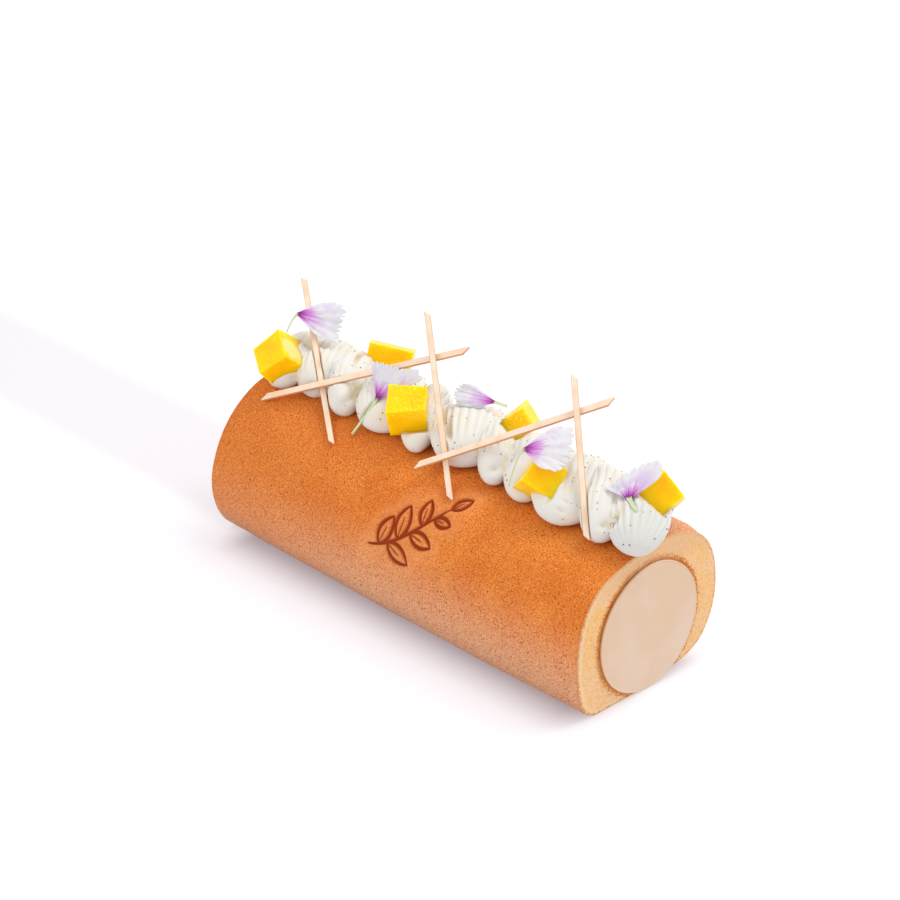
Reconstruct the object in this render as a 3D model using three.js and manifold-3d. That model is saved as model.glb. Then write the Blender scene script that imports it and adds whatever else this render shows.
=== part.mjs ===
// Mango roll cake: a rolled sponge, a piped ridge of cream, dice of mango, chocolate sticks and petals.
// Millimetres, +Z up. The roll lies along X with its flat underside on z = 0 and its cut ends at
// x = -100 and x = +100. The origin is the middle of the underside.

import * as THREE from 'three';
import { mergeVertices } from 'three/addons/utils/BufferGeometryUtils.js';
import Module from 'manifold-3d';

const wasm = await Module();
wasm.setup();

// Roll
const ROLL_LENGTH = 200;
const ROLL_STATIONS = 10;
const SECTION_STEPS = 44;
const SIDE_BULGE = 1.8; // how much the long side bows out halfway along
const BULGE_TOP = 45; // the bow fades out towards this height
const BOW_REACH = 37; // and is full at this distance out from the middle
const GAP = 0.3; // kept between neighbouring pieces
const PETAL_GAP = 0.5; // and round the wavy petals
const CUTTER_OVERRUN = 12; // how far the roll is carried on past its ends where it trims the cream

// Outline of the cut ends as (y, z), from the flat underside up the right side and back down
// the left side to the tail of the rolled sheet
const NEAR_SECTION = [
  [6, 0], [14, 2.3], [23, 4.2], [30.8, 8.4], [36.9, 18.3], [38.7, 31], [35.6, 45.9], [27.2, 55.7],
  [14.8, 60.1], [1, 60.2], [-13, 57.8], [-26, 52.7], [-33.8, 42.5], [-36.8, 27], [-35.6, 12.5],
  [-31.9, 2.9], [-26.2, 0],
];
const FAR_SECTION = [
  [6, 0], [14, 2], [23, 4.2], [31, 8.8], [36.8, 18.8], [38, 31], [34.8, 46], [26.3, 55.4],
  [14.5, 60.4], [1, 61.6], [-13, 59.8], [-26, 51.5], [-34, 40.6], [-38.7, 26], [-37.5, 14],
  [-32.6, 4.8], [-26.5, 0],
];

// Round plaque on each cut end
const PLAQUE_RADIUS = 26.5; // up and down
const PLAQUE_NARROW = 0.975; // and this share of it across
const PLAQUE_THICKNESS = 0.8;
const PLAQUE_EDGE = 0.25;
const PLAQUE_LIFT = 0.1; // its rim clears the table by this much
const PLAQUE_SHIFT = 0.9; // and it sits this far right of the middle
const PLAQUE_STEPS = 48;

// Piped cream: each pass runs from the back of the ridge diagonally to a round bulb at the front
const CREAM_BULBS = [ // x of the front tip, its y, half width of the rope, x run of the pass from the back
  { x: 102.8, front: -10.8, half: 11.6, run: 28 },
  { x: 86.5, front: -12.8, half: 9, run: 27 },
  { x: 68, front: -13.2, half: 14, run: 27 },
  { x: 46.6, front: -11.3, half: 9.3, run: 27 },
  { x: 30, front: -10, half: 8, run: 27 },
  { x: 12.2, front: -9.2, half: 14, run: 27 },
  { x: -9.5, front: -12.2, half: 8, run: 27 },
  { x: -30, front: -10.5, half: 13, run: 27 },
  { x: -51, front: -11.5, half: 8.5, run: 27 },
  { x: -70.3, front: -9.2, half: 10.5, run: 22 },
  { x: -88, front: -13.6, half: 10, run: 10 },
];
const PASS_BACK = 27; // y of the back tips
const PASS_STATIONS = 11;
const PASS_HEIGHT = 7.4; // half height of the rope
const PASS_END_LIFT = 4.6; // height of the rope's centre over the crust at both ends
const PASS_RISE = 4.2; // and how much more at the crest
const PASS_BLUNT = 3.6; // roundness of the ends, 2 is a ball
const CRUST_TOP = 60.4; // height of the crust along the crest
const CRUST_CREST = 2; // y of the crest
const CRUST_ROUND = 62; // radius of the crust near the crest
const PASS_TIP = 0.06; // the last rings stop this far short of the tips, in half turns
const FLUTES = 9; // over the upper side of the rope
const FLUTED_ARC = [-25, 205]; // degrees round the rope, 90 is straight up
const FLUTE_DEPTH = 0.1; // share of the rope's radius
const UNDERSIDE_STEPS = 4;

// Mango dice: sides, centre and turns about X, Y and Z in degrees
const DICE = [
  { sides: [14.9, 15.4, 12.4], at: [-91.1, -8.5, 71.5], turn: [43, 20, -30] },
  { sides: [9.8, 14.4, 17.9], at: [-61.6, 24.4, 71.2], turn: [121, -68, 99] },
  { sides: [14.2, 13.6, 15], at: [-20.2, -5, 73.8], turn: [-82, -63, -57] },
  { sides: [11.2, 10.6, 11.8], at: [12.9, 22.6, 70.2], turn: [68, -40, 46] },
  { sides: [13.2, 14, 13.8], at: [52.3, -6.3, 72.2], turn: [-48, -30, -147] },
  { sides: [12.6, 12.9, 10], at: [91.7, 15.5, 72.5], turn: [52, -38, 67] },
];
const DICE_EDGE = 1.1; // rounding of the edges
const DICE_TAPER = 0.07; // share by which each pair of faces runs out of parallel

// Chocolate sticks: low tip, high tip, width and roll about their own length in degrees
const STICKS = [
  { low: [-44.6, -22.8, 55.6], high: [-109.4, 21.6, 91.5], width: 2.3, roll: 15 },
  { low: [-89.7, -19.3, 58.4], high: [-8.6, 16.2, 95.7], width: 2.8, roll: 0 },
  { low: [20, -21.9, 55.9], high: [-34.5, 18.7, 102.6], width: 2.3, roll: 15 },
  { low: [-0.7, -20.9, 62.3], high: [61.9, 21.5, 97.9], width: 2.8, roll: 0 },
  { low: [83.6, -15.3, 62.1], high: [41.9, 20.6, 102], width: 2.3, roll: 15 },
];
const STICK_THICKNESS = 1.1;
const STICK_SLANT = 0.9; // the ends are cut back by this much along for each step across
const LEAN_NORMAL = [0, -0.634, 0.773]; // the sticks lie on the front slope of the cream

// Petals: end of the claw, throat, middle line and facing of the limb, its spread, and how far its teeth
// reach from the fan's hub, at equal angles from one side to the other
const PETALS = [
  { claw: [-98.6, 2.4, 76.6], throat: [-92.3, 4.2, 86.4], axis: [8, 5.8, -1.2], facing: [5, -5.5, 6.7],
    spread: 76, reach: [11.8, 20.1, 19.4, 19.3, 20.5, 18.5, 9.5] },
  { claw: [-40.4, -16.1, 59.5], throat: [-35.9, -6, 74], axis: [0.6, 5.8, 8.2], facing: [0.8, -8.2, 5.7],
    spread: 90, reach: [22, 21, 16, 14.7, 14.6, 15.4, 16.6] },
  { claw: [8.6, 19.6, 76.6], throat: [4.3, 16.1, 78.3], axis: [-8.7, -4.9, 0.8], facing: [3.5, -5, 7.9],
    spread: 52, reach: [11.9, 16.9, 18.1, 17.5, 16.8, 13.9, 7.3] },
  { claw: [42.9, -14.1, 68.4], throat: [47.9, -9.7, 83.9], axis: [8.1, 5.9, 0.2], facing: [2.5, -3.7, 9],
    spread: 100, reach: [10.4, 16.9, 17.4, 17.8, 18.7, 20.6, 16.5] },
  { claw: [95.8, -2.5, 74.4], throat: [89.2, 0.4, 76.6], axis: [-5.5, 6.5, 5.2], facing: [1, -5.7, 8.2],
    spread: 112, reach: [14.5, 19.5, 17, 13, 11, 10.5, 12] },
];
const PETAL_THICKNESS = 0.7;
const LIMB_ROWS = 5;
const CLAW_ROWS = 3;
const CLAW_HALF_WIDTH = 0.55;
const CLAW_BEND = 0.2; // share of its length over which the claw runs on in the limb's direction
const THROAT_RADIUS = 1.6;
const FRINGE_DEPTH = 0.1; // depth of the notches between the teeth, share of the limb's reach
const PETAL_WAVE = 0.8; // height of the waves at the rim
const WAVES = 5; // how closely they follow each other, radians from the middle to a side
const PETAL_CURL = 0.5; // how far the rim bends back

// Colour and roughness
const FINISH = {
  sponge: [0xd8843f, 0.75],
  plaque: [0xe6c8a6, 0.45],
  cream: [0xf3f1ea, 0.6],
  mango: [0xfcc000, 0.35],
  stick: [0xfbd0a8, 0.5],
  petal: [0xeee6f2, 0.6],
};

// Small helpers
const WELD = 1e-4; // points closer than this are one point
const RADIAN = Math.PI / 180;
const lerp = (a, b, t) => a + (b - a) * t;
const vector = (values) => new THREE.Vector3(...values);

// One triangulated solid from point rings of equal length, closed by a fan at both ends
function loft(rings) {
  const count = rings[0].length;
  const positions = rings.flat().flatMap((p) => [p.x, p.y, p.z]);
  const index = [];
  for (let i = 0; i < rings.length - 1; i += 1) {
    for (let k = 0; k < count; k += 1) {
      const a = i * count + k;
      const b = i * count + (k + 1) % count;
      index.push(a, b, b + count, a, b + count, a + count);
    }
  }
  const last = rings.length - 1;
  for (const [ring, start, flip] of [[rings[0], 0, true], [rings[last], last * count, false]]) {
    const middle = ring.reduce((sum, p) => sum.add(p), new THREE.Vector3()).divideScalar(count);
    const hub = positions.length / 3;
    positions.push(middle.x, middle.y, middle.z);
    for (let k = 0; k < count; k += 1) {
      const a = start + k;
      const b = start + (k + 1) % count;
      index.push(...(flip ? [b, a, hub] : [a, b, hub]));
    }
  }
  const geometry = new THREE.BufferGeometry();
  geometry.setAttribute('position', new THREE.Float32BufferAttribute(positions, 3));
  geometry.setIndex(index);
  return geometry;
}

// To a body for the boolean operations, and back
function toSolid(geometry) {
  const bare = geometry.clone();
  bare.deleteAttribute('normal');
  bare.deleteAttribute('uv');
  const merged = mergeVertices(bare, WELD);
  return new wasm.Manifold(new wasm.Mesh({
    numProp: 3,
    vertProperties: new Float32Array(merged.attributes.position.array),
    triVerts: new Uint32Array(merged.index.array),
  }));
}

function toGeometry(solid) {
  const mesh = solid.getMesh();
  const geometry = new THREE.BufferGeometry();
  geometry.setAttribute('position', new THREE.BufferAttribute(Float32Array.from(mesh.vertProperties), 3));
  geometry.setIndex(new THREE.BufferAttribute(Uint32Array.from(mesh.triVerts), 1));
  return geometry;
}

// Rolled sponge

// Section outline at x, grown outwards by a margin
function sectionAt(x, margin) {
  const t = THREE.MathUtils.clamp(0.5 + x / ROLL_LENGTH, 0, 1);
  const control = NEAR_SECTION.map(([y, z], k) => {
    const [farY, farZ] = FAR_SECTION[k];
    const side = Math.max(0, -y / BOW_REACH) * Math.max(0, 1 - z / BULGE_TOP);
    const bow = z > 0 ? SIDE_BULGE * Math.sin(Math.PI * t) * side : 0;
    return new THREE.Vector3(lerp(farY, y, t) - bow, lerp(farZ, z, t), 0);
  });
  const points = new THREE.CatmullRomCurve3(control, false, 'centripetal').getPoints(SECTION_STEPS - 1);
  return points.map((p, k) => {
    const before = points.at(k - 1);
    const after = points[(k + 1) % points.length];
    const outward = new THREE.Vector2(after.y - before.y, before.x - after.x).normalize();
    return new THREE.Vector3(x, p.x + outward.x * margin, p.y + outward.y * margin);
  });
}

// The whole roll, grown by a margin and carried on past both ends
function rollGeometry(margin, overrun) {
  const rings = [];
  const end = ROLL_LENGTH / 2 + overrun;
  for (let i = 0; i <= ROLL_STATIONS; i += 1) {
    rings.push(sectionAt(lerp(-end, end, i / ROLL_STATIONS), margin));
  }
  return loft(rings);
}

// Plaque, turned about the X axis with softened edges and drawn in a little across
function plaqueGeometry() {
  const half = PLAQUE_THICKNESS / 2;
  const profile = [
    [0, -half], [PLAQUE_RADIUS - PLAQUE_EDGE, -half], [PLAQUE_RADIUS, PLAQUE_EDGE - half],
    [PLAQUE_RADIUS, half - PLAQUE_EDGE], [PLAQUE_RADIUS - PLAQUE_EDGE, half], [0, half],
  ].map(([radius, along]) => new THREE.Vector2(radius, along));
  return new THREE.LatheGeometry(profile, PLAQUE_STEPS).rotateZ(-Math.PI / 2).scale(1, PLAQUE_NARROW, 1);
}

// Cream

// Height of the crust's crown at y
const crustHeight = (y) => CRUST_TOP - (y - CRUST_CREST) ** 2 / (2 * CRUST_ROUND);

// Angles round the rope: close together over the fluted upper side, wide apart below
function ropeAngles() {
  const angles = [];
  const [low, high] = FLUTED_ARC.map((degrees) => degrees * RADIAN);
  const steps = FLUTES * 2;
  for (let k = 0; k <= steps; k += 1) {
    angles.push({ angle: lerp(low, high, k / steps), groove: k % 2 });
  }
  for (let k = 1; k < UNDERSIDE_STEPS; k += 1) {
    angles.push({ angle: lerp(high, low + 2 * Math.PI, k / UNDERSIDE_STEPS), groove: 0 });
  }
  return angles;
}

// One pass: a fluted rope that swells from tip to tip and arches over the crest
function passGeometry(bulb) {
  const front = new THREE.Vector2(bulb.x, bulb.front);
  const back = new THREE.Vector2(bulb.x - bulb.run, PASS_BACK);
  const across = front.clone().sub(back).normalize().rotateAround(new THREE.Vector2(), Math.PI / 2);
  const angles = ropeAngles();
  const rings = [];
  for (let i = 0; i <= PASS_STATIONS; i += 1) {
    const t = (1 - Math.cos(Math.PI * lerp(PASS_TIP, 1 - PASS_TIP, i / PASS_STATIONS))) / 2;
    const swell = Math.sqrt(1 - Math.abs(2 * t - 1) ** PASS_BLUNT);
    const centre = back.clone().lerp(front, t);
    const height = crustHeight(centre.y) + PASS_END_LIFT + PASS_RISE * Math.sin(Math.PI * t);
    rings.push(angles.map(({ angle, groove }) => {
      const flute = 1 - FLUTE_DEPTH * groove * swell;
      const reach = bulb.half * swell * flute * Math.cos(angle);
      const rise = PASS_HEIGHT * swell * flute * Math.sin(angle);
      return new THREE.Vector3(centre.x + across.x * reach, centre.y + across.y * reach, height + rise);
    }));
  }
  return loft(rings);
}

// Mango die: a box with rounded edges whose faces are a little out of parallel
function diceGeometry({ sides, at, turn }, margin) {
  const geometry = new THREE.BoxGeometry(2, 2, 2, 3, 3, 3);
  const position = geometry.attributes.position;
  const rotation = new THREE.Euler(...turn.map((degrees) => degrees * RADIAN), 'ZYX');
  const half = vector(sides).divideScalar(2);
  for (let i = 0; i < position.count; i += 1) {
    const unit = new THREE.Vector3().fromBufferAttribute(position, i);
    const core = half.clone().subScalar(DICE_EDGE);
    const outward = new THREE.Vector3();
    for (const axis of ['x', 'y', 'z']) {
      core[axis] *= Math.sign(unit[axis]);
      outward[axis] = Math.trunc(unit[axis]);
    }
    const point = outward.normalize().multiplyScalar(DICE_EDGE + margin).add(core);
    const share = core.divide(half);
    point.x *= 1 + DICE_TAPER * share.y;
    point.y *= 1 - DICE_TAPER * share.z;
    point.z *= 1 + DICE_TAPER * share.x * share.y;
    point.applyEuler(rotation).add(vector(at));
    position.setXYZ(i, point.x, point.y, point.z);
  }
  geometry.deleteAttribute('normal');
  geometry.deleteAttribute('uv');
  return mergeVertices(geometry, WELD);
}

// Chocolate stick: a flat strip with both ends cut on the slant
function stickGeometry({ low, high, width, roll }, margin) {
  const along = vector(high).sub(vector(low));
  const length = along.length();
  along.normalize();
  const half = width / 2 + margin;
  const inset = width * STICK_SLANT / 2;
  const past = margin * Math.hypot(1, STICK_SLANT);
  const endAt = (x, y) => new THREE.Vector2(x + STICK_SLANT * y, y);
  const outline = new THREE.Shape([
    endAt(inset - past, -half), endAt(length - inset + past, -half),
    endAt(length - inset + past, half), endAt(inset - past, half),
  ]);
  const depth = STICK_THICKNESS + 2 * margin;
  const geometry = new THREE.ExtrudeGeometry(outline, { depth, bevelEnabled: false });
  geometry.translate(0, 0, -depth / 2);
  const face = vector(LEAN_NORMAL).addScaledVector(along, -vector(LEAN_NORMAL).dot(along)).normalize();
  face.applyAxisAngle(along, roll * RADIAN);
  const side = new THREE.Vector3().crossVectors(face, along);
  const place = new THREE.Matrix4().makeBasis(along, side, face).setPosition(vector(low));
  return geometry.applyMatrix4(place);
}

// Petal: a thin wavy sheet, a narrow claw that opens at the throat into a fringed fan
function petalGeometry(petal, margin) {
  const start = vector(petal.claw);
  const neck = vector(petal.throat);
  const axis = vector(petal.axis).normalize();
  const normal = vector(petal.facing).normalize();
  normal.addScaledVector(axis, -normal.dot(axis)).normalize();
  const side = new THREE.Vector3().crossVectors(normal, axis);
  const bend = neck.clone().addScaledVector(axis, -neck.distanceTo(start) * CLAW_BEND);
  const stem = new THREE.QuadraticBezierCurve3(start, bend, neck);
  const halfSpread = petal.spread * RADIAN / 2;
  const thickness = PETAL_THICKNESS / 2 + margin;
  const cells = 2 * (petal.reach.length - 1);
  const rings = [];
  const addRing = (place) => {
    const upper = [];
    const lower = [];
    for (let k = 0; k <= cells; k += 1) {
      const { point, face } = place((2 * k) / cells - 1, rimRadius(petal.reach, k));
      upper.push(point.clone().addScaledVector(face, thickness));
      lower.push(point.clone().addScaledVector(face, -thickness));
    }
    rings.push([...lower, ...upper.reverse()]);
  };
  for (let i = 0; i < CLAW_ROWS; i += 1) {
    const t = i / CLAW_ROWS;
    const along = stem.getTangent(t);
    const across = side.clone().addScaledVector(along, -side.dot(along)).normalize();
    const face = new THREE.Vector3().crossVectors(along, across);
    const half = lerp(CLAW_HALF_WIDTH, THROAT_RADIUS * Math.sin(halfSpread), t * t) + margin;
    const centre = stem.getPoint(t).addScaledVector(along, i === 0 ? -margin : 0);
    addRing((v) => ({ point: centre.clone().addScaledVector(across, half * v), face }));
  }
  for (let i = 0; i <= LIMB_ROWS; i += 1) {
    addRing((v, rim) => {
      const reach = rim - THROAT_RADIUS;
      const t = i / LIMB_ROWS;
      const radius = THROAT_RADIUS + reach * t + (i === LIMB_ROWS ? margin : 0);
      const angle = halfSpread * v + (Math.abs(v) === 1 ? margin * v / radius : 0);
      const wave = t * t * (PETAL_WAVE * Math.sin(WAVES * v) - PETAL_CURL);
      const point = neck.clone().addScaledVector(axis, radius * Math.cos(angle) - THROAT_RADIUS)
        .addScaledVector(side, radius * Math.sin(angle))
        .addScaledVector(normal, wave);
      return { point, face: normal };
    });
  }
  return sheet(rings);
}

// Radius of the rim: a tooth at even steps and a notch at odd ones
function rimRadius(reach, step) {
  const before = reach[Math.floor(step / 2)];
  const after = reach[Math.ceil(step / 2)];
  return lerp(before, after, 0.5) * (1 - FRINGE_DEPTH * (step % 2));
}

// Closed thin solid from rings that hold a lower and an upper row of points
function sheet(rings) {
  const count = rings[0].length;
  const across = count / 2;
  const positions = rings.flat().flatMap((p) => [p.x, p.y, p.z]);
  const index = [];
  for (let i = 0; i < rings.length - 1; i += 1) {
    for (let k = 0; k < count; k += 1) {
      const a = i * count + k;
      const b = i * count + (k + 1) % count;
      const [c, d] = [b + count, a + count];
      index.push(...(k < across ? [a, b, c, a, c, d] : [a, b, d, b, c, d]));
    }
  }
  for (const [start, flip] of [[0, true], [(rings.length - 1) * count, false]]) {
    for (let k = 0; k < across - 1; k += 1) {
      const [a, b, c, d] = [start + k, start + k + 1, start + count - 2 - k, start + count - 1 - k];
      index.push(...(flip ? [b, a, d, b, d, c] : [a, b, c, a, c, d]));
    }
  }
  const geometry = new THREE.BufferGeometry();
  geometry.setAttribute('position', new THREE.Float32BufferAttribute(positions, 3));
  geometry.setIndex(index);
  return geometry;
}

// The passes joined, less the roll and everything that is set in the cream
function creamSolid() {
  const passes = CREAM_BULBS.map((bulb) => toSolid(passGeometry(bulb)));
  let cream = passes.reduce((sum, pass) => sum.add(pass));
  const cutters = [
    rollGeometry(GAP, CUTTER_OVERRUN),
    ...DICE.map((die) => diceGeometry(die, GAP)),
    ...STICKS.map((stick) => stickGeometry(stick, GAP)),
    ...PETALS.map((petal) => petalGeometry(petal, PETAL_GAP)),
  ];
  for (const cutter of cutters) {
    cream = cream.subtract(toSolid(cutter));
  }
  const pieces = cream.decompose();
  pieces.sort((a, b) => b.volume() - a.volume());
  return pieces[0];
}

// Assembly

const cake = new THREE.Group();

function add(name, geometry, kind, position = [0, 0, 0]) {
  const [color, roughness] = FINISH[kind];
  const mesh = new THREE.Mesh(geometry, new THREE.MeshStandardMaterial({ color, roughness, metalness: 0 }));
  mesh.name = name;
  mesh.position.set(...position);
  cake.add(mesh);
}

const plaqueOffset = ROLL_LENGTH / 2 + GAP + PLAQUE_THICKNESS / 2;
const plaqueHeight = PLAQUE_RADIUS + PLAQUE_LIFT;
add('sponge_roll', rollGeometry(0, 0), 'sponge');
add('plaque_near', plaqueGeometry(), 'plaque', [plaqueOffset, PLAQUE_SHIFT, plaqueHeight]);
add('plaque_far', plaqueGeometry(), 'plaque', [-plaqueOffset, PLAQUE_SHIFT, plaqueHeight]);
add('cream', toGeometry(creamSolid()), 'cream');
DICE.forEach((die, k) => add(`mango_${k + 1}`, diceGeometry(die, 0), 'mango'));
STICKS.forEach((stick, k) => add(`stick_${k + 1}`, stickGeometry(stick, 0), 'stick'));
PETALS.forEach((petal, k) => add(`petal_${k + 1}`, petalGeometry(petal, 0), 'petal'));

export default cake;
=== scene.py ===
"""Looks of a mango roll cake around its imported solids: browned sponge, piped cream, mango dice,
chocolate sticks and petals. Shapes are worked out in millimetres in the part's frame and handed to
Blender in metres."""

import itertools
import math

import bpy
import numpy as np
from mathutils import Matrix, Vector


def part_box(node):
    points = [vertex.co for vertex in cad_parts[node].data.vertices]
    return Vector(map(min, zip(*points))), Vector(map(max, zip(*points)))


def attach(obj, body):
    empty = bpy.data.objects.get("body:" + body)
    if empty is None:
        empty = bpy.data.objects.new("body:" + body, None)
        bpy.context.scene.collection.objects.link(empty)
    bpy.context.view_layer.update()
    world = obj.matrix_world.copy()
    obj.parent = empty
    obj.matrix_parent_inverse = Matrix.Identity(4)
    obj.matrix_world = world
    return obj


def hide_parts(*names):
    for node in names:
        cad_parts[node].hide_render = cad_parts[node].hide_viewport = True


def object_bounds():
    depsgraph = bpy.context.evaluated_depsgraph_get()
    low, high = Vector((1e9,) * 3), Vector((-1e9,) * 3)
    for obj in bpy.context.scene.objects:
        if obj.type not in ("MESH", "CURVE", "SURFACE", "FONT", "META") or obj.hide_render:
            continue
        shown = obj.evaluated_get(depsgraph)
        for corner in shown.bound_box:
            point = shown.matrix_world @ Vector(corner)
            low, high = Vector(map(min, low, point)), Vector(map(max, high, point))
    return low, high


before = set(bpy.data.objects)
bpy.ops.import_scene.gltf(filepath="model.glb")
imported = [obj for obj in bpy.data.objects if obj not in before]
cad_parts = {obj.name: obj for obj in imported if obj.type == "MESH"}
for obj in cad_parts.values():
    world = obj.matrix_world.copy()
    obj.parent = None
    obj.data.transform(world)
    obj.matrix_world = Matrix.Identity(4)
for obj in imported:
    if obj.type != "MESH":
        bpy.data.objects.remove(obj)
cad_low, cad_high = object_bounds()

MM = 0.001
SEED = 7
FAR = 99.0  # stands for a place that is nowhere near

# Camera, as far as the photograph gives it
AZIMUTH = 45.69
ELEVATION = 27.9
CAMERA_PLACE = (721.7, -707.1, 596.8)
SENSOR = 36.0
LENS = 120.0

# Roll. Waves are given as the height and the size of the bumps of each noise
HALF_LENGTH = 100.0
CENTRE_HEIGHT = 26.6  # of the plaques and the ring round them
CENTRE_SIDE = 0.9  # how far right of the middle they sit
PLAQUE_NARROW = 0.975  # width of a plaque as a share of its height
PLAQUE_ROUND = 0.3  # rounding of a plaque's edge
PLAQUE_MIDDLE = 0.6  # radius of the innermost ring, which one strip of faces closes
PLAQUE_SIDES = 180
RIM_ROUND = 0.5  # rounding of the cut edge
RIM_DRAW = 0.3  # how far the cut edge is drawn in above the underside
SIDE_STEP = 1.0  # size of the mesh cells, and the fine ones at the pressed sprig
FINE_STEP = 0.4
STEP_GROWTH = 0.15
SECTION_POINTS = 400
CAP_RINGS = 46
CRUST_WAVES = ((0.22, 34), (0.09, 9), (0.03, 2.4))
CRUST_SINK = 0.15
CRUMB_WAVES = ((0.16, 2.2), (0.1, 0.9))
CRUMB_SINK = 0.12
UNDERSIDE = (0.4, 2.5)  # heights between which relief fades in above the flat underside
BACK_SWELL = 1.3  # how much the crust rises behind the cream

# Pressed sprig, in x along the roll and in arc length up the side from its centre
SPRIG_X = 8.0
SPRIG_Z = 43.5  # height of its centre on the side
SPRIG_REACH = 26.0
SPRIG_STEM = ((-17, -12), (-2, -9), (14, 14))
SPRIG_LEAVES = (  # share along the stem, side and length
    (0.16, 1, 13), (0.3, -1, 13), (0.44, 1, 14), (0.6, -1, 12), (0.74, 1, 11), (0.86, -1, 8.5), (1.0, 0, 9),
)
LEAF_TURN = math.radians(52)
LEAF_BULGE = 0.45
GROOVE_DEPTH = 1.3
GROOVE_HALF = 0.95
LIP_HEIGHT = 0.25
LIP_AT = 2.6
LIP_HALF = 0.9
HALO_REACH = 4.5

# Piped passes: x and y of the front tip, half width, and x run from the back
CREAM_BULBS = [
    (102.8, -10.8, 11.6, 28), (86.5, -12.8, 9, 27), (68, -13.2, 14, 27), (46.6, -11.3, 9.3, 27),
    (30, -10, 8, 27), (12.2, -9.2, 14, 27), (-9.5, -12.2, 8, 27), (-30, -10.5, 13, 27),
    (-51, -11.5, 8.5, 27), (-70.3, -9.2, 10.5, 22), (-88, -13.6, 10, 10),
]
PASS_BACK = 27.0
PASS_HEIGHT = 7.4
PASS_END_LIFT = 4.6
PASS_RISE = 4.2
PASS_BLUNT = 3.6
PASS_RINGS = 91
PASS_SIDES = 240
CRUST_TOP = 60.4
CRUST_CREST = 2.0
CRUST_ROUND = 62.0
FLUTE_SPACING = 2.9
FLUTE_DEPTH = 1.0
FULL_FLUTES = (0.995, 0.93)  # where the flutes fade out towards the front, on the first pass
SHORT_FLUTES = (0.97, 0.76)  # and on the others
FLUTE_SHARES = (1.0, 0.55, 0.75, 0.4, 0.5, 0.9, 0.5, 0.55, 0.35, 0.7, 0.5)  # one for each pass
CREAM_WAVES = ((0.45, 11), (0.2, 5), (0.04, 1.8))
CREAM_VOXEL = 0.38
CREAM_SINK = 0.4  # how far the cream's underside lies below the crust's surface
SPECKS = 280
SPECK_RADIUS = (0.16, 0.32)
SPECK_STRETCH = (0.6, 1.3)

# Folds of the cream: the line that each follows, its half width and depth
FOLDS = [
    (((-52, -10.4, 66.4), (-50.6, -4.4, 69.5), (-54.5, -2.9, 72.8)), 2.0, 3.9),
    (((28, -9, 67), (33.1, -5.3, 71.7), (30, 0.9, 74.6)), 1.8, 3.6),
    (((85.9, -10.8, 67.3), (89.5, -8.7, 70.2), (89, -3.9, 74)), 1.5, 3.2),
    (((57, -12.5, 66), (68.6, -12.1, 67), (79, -11.2, 67.2)), 0.8, 1.0),
    (((58, -9.5, 69), (67, -9.5, 69.5), (78.5, -9, 69.8)), 0.7, 0.8),
    (((-67.5, 15.9, 74), (-65.8, 11.9, 75.5), (-60.1, 2.4, 75.5)), 2.0, 3.2),
    (((-12.8, 6.1, 72.3), (-1.6, -3.2, 73.6), (5, -7.6, 71)), 1.7, 3.0),
    (((-82.5, -8.9, 66), (-74.9, -8.8, 66.2), (-72.3, -7.1, 67.8)), 1.3, 2.0),
    (((-16.3, -12.8, 66), (-13.5, -10.2, 69.2), (-9.6, -6.7, 70.9)), 1.3, 2.4),
    (((70, 17.4, 72.8), (71.9, 14.4, 73.8), (77.1, 5.5, 75.5)), 1.9, 3.2),
    (((-92.3, 3.8, 76.1), (-85.6, 4.2, 75.2), (-78.2, 7.2, 75.9)), 1.5, 2.2),
    (((13.5, -7.7, 66.5), (18.1, -4.6, 71.7), (15.9, 2.3, 75.4)), 1.5, 2.6),
]
SWELLS = [  # place, radius and height
    ((-64.5, 11, 78), 5, 2.6), ((-20.5, 12, 75.5), 4.5, 3.0), ((74, 12, 75.5), 4.5, 2.6),
    ((66, 11, 76.5), 4.5, 1.8), ((-52.5, -9, 69), 4, 1.4), ((-70, 0, 76), 5, 1.2),
]
CAVITY_ROUNDS = 16
LEAN_NORMAL = (0, -0.634, 0.773)  # the sticks lie on the front slope of the cream
CLEARED_DICE = {  # no cream lies on these dice on the side that faces this way
    "mango_3": (0.647, -0.612, 0.456), "mango_4": (0.619, -0.637, 0.459),
    "mango_5": (0.607, -0.636, 0.476), "mango_6": (0.577, -0.661, 0.48),
}
CLEAR_SHARE = 0.3  # how much a die's face has to point to the open side to be cleared
CLEAR_GAP = 0.4
CLEAR_FADE = (-0.3, -0.8)  # the clearing fades in this far inside the die's outline
STRIP_FADE = (0.7, 1.5)  # soft sides and ends where a stick or claw lies on the cream
LIMB_FADE = (14, 2.5)  # the same round a petal's limb, in degrees and millimetres
LIMB_ROOM = 1.6
CLAW_HALF = 0.7

DICE = [f"mango_{number}" for number in range(1, 7)]
DIE_CELLS = 44  # mesh cells along each edge of a mango die
DIE_SHRINK = 0.035  # share by which the corners are drawn in
DIE_ROUNDS = 9  # of smoothing
DIE_WAVES = ((0.14, 6), (0.07, 2.1), (0.03, 0.8))
DIE_SINK = 0.1
DIE_SEED = 20
# Dice whose tops carry more painted highlights
GLINT_DICE = ("mango_3", "mango_4")

# Pale worn corners of mango: place and radius
WORN_CORNERS = {"mango_1": ((-84.5, -6.0, 78.0), 7.5), "mango_4": ((9.0, 18.5, 76.0), 3.5)}

STICKS = [f"stick_{number}" for number in range(1, 6)]
STICK_ROUND = 0.22
STICK_TIP = 0.005  # share of the length over which an end is softened
STICK_STATIONS = 110
STICK_SEED = 50
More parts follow.
